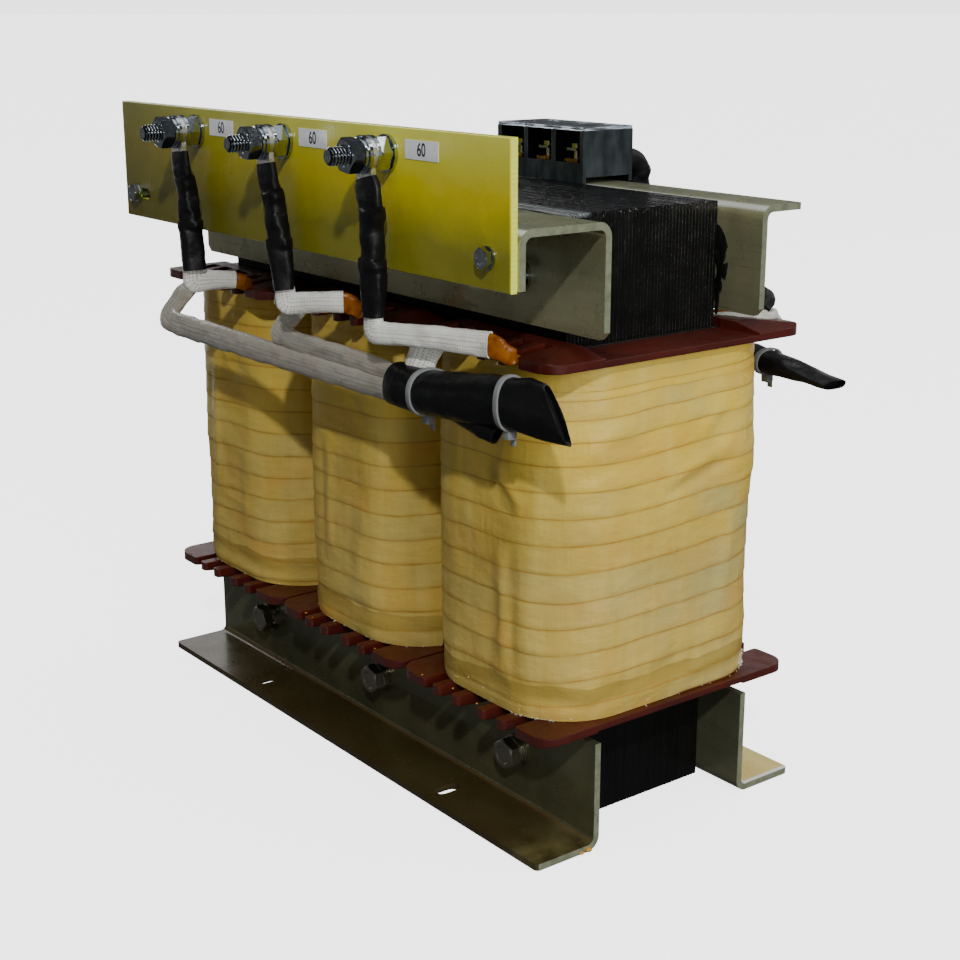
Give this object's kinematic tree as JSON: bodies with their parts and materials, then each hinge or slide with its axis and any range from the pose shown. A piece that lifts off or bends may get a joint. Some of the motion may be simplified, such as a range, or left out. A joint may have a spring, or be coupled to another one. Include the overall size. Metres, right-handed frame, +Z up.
{
  "type": "three-phase transformer",
  "caption": "Open-frame three-phase transformer: three taped coils on a laminated core between steel clamps, a stud terminal board at the front and a clamp terminal block at the rear.",
  "frame": {"origin": "middle of the core's underside, level with the undersides of the feet", "axes": "+X along the core towards the end where the star-point shroud hangs, +Y from the terminal board to the terminal block, +Z up"},
  "size_m": [0.4494, 0.2775, 0.394],
  "materials": {
    "barrier_paper": "paper",
    "black_moulding": "moulded, glossy",
    "black_shrink": "heat-shrink tube",
    "black_sleeve": "soft tube",
    "brass_strip": "plain",
    "clear_cover": "clear, bluish",
    "cream_tape": "varnished woven tape",
    "enamelled_copper": "enamelled copper wire under varnish",
    "fibre_tube": "pressed paper tube",
    "grey_nylon": "nylon",
    "grey_sleeving": "woven glass sleeving, varnished",
    "maroon_moulding": "moulded resin under varnish, glossy",
    "olive_board": "resin-bonded board, olive-yellow, semi-gloss",
    "olive_painted_steel": "olive-grey, thin coat, satin",
    "orange_varnish": "varnished winding end",
    "silver_label": "plain foil label",
    "tinned_copper": "tinned, satin",
    "varnished_laminations": "black varnish, glossy",
    "white_sleeving": "woven glass sleeving",
    "zinc_steel": "bluish zinc plating"
  },
  "bodies": {
    "root": {"core_e_stack": "varnished_laminations", "core_yoke_bar": "varnished_laminations", "lower_clamp_front": "olive_painted_steel", "lower_clamp_rear": "olive_painted_steel", "upper_clamp_front": "olive_painted_steel", "upper_clamp_rear": "olive_painted_steel", "yoke_bolts": "zinc_steel", "bolt_insulating_tubes": "fibre_tube", "hex_nuts": "zinc_steel", "plain_washers": "zinc_steel", "spring_washers": "zinc_steel", "terminal_board": "olive_board", "board_screws": "zinc_steel", "board_washers": "zinc_steel", "board_nuts": "zinc_steel", "terminal_studs": "zinc_steel", "terminal_lugs": "tinned_copper", "terminal_labels": "silver_label", "terminal_block": "black_moulding", "block_contacts": "brass_strip", "block_wire_clamps": "zinc_steel", "block_cover": "clear_cover", "block_screws": "zinc_steel", "block_nuts": "zinc_steel", "output_shrink_tubes": "black_shrink", "rear_star_leads": "grey_sleeving", "supply_leads": "black_sleeve", "lead_tails": "orange_varnish", "front_star_shroud": "black_shrink", "rear_star_shroud": "black_shrink", "cable_ties": "grey_nylon", "former_tube_1": "fibre_tube", "primary_winding_1": "enamelled_copper", "winding_barrier_1": "barrier_paper", "secondary_winding_1": "enamelled_copper", "tape_wrap_1": "cream_tape", "bottom_flange_1": "maroon_moulding", "top_flange_1": "maroon_moulding", "output_sleeve_1": "white_sleeving", "front_star_lead_1": "grey_sleeving", "former_tube_2": "fibre_tube", "primary_winding_2": "enamelled_copper", "winding_barrier_2": "barrier_paper", "secondary_winding_2": "enamelled_copper", "tape_wrap_2": "cream_tape", "bottom_flange_2": "maroon_moulding", "top_flange_2": "maroon_moulding", "output_sleeve_2": "white_sleeving", "front_star_lead_2": "grey_sleeving", "former_tube_3": "fibre_tube", "primary_winding_3": "enamelled_copper", "winding_barrier_3": "barrier_paper", "secondary_winding_3": "enamelled_copper", "tape_wrap_3": "cream_tape", "bottom_flange_3": "maroon_moulding", "top_flange_3": "maroon_moulding", "output_sleeve_3": "white_sleeving", "front_star_lead_3": "grey_sleeving"}
  },
  "joints": []
}
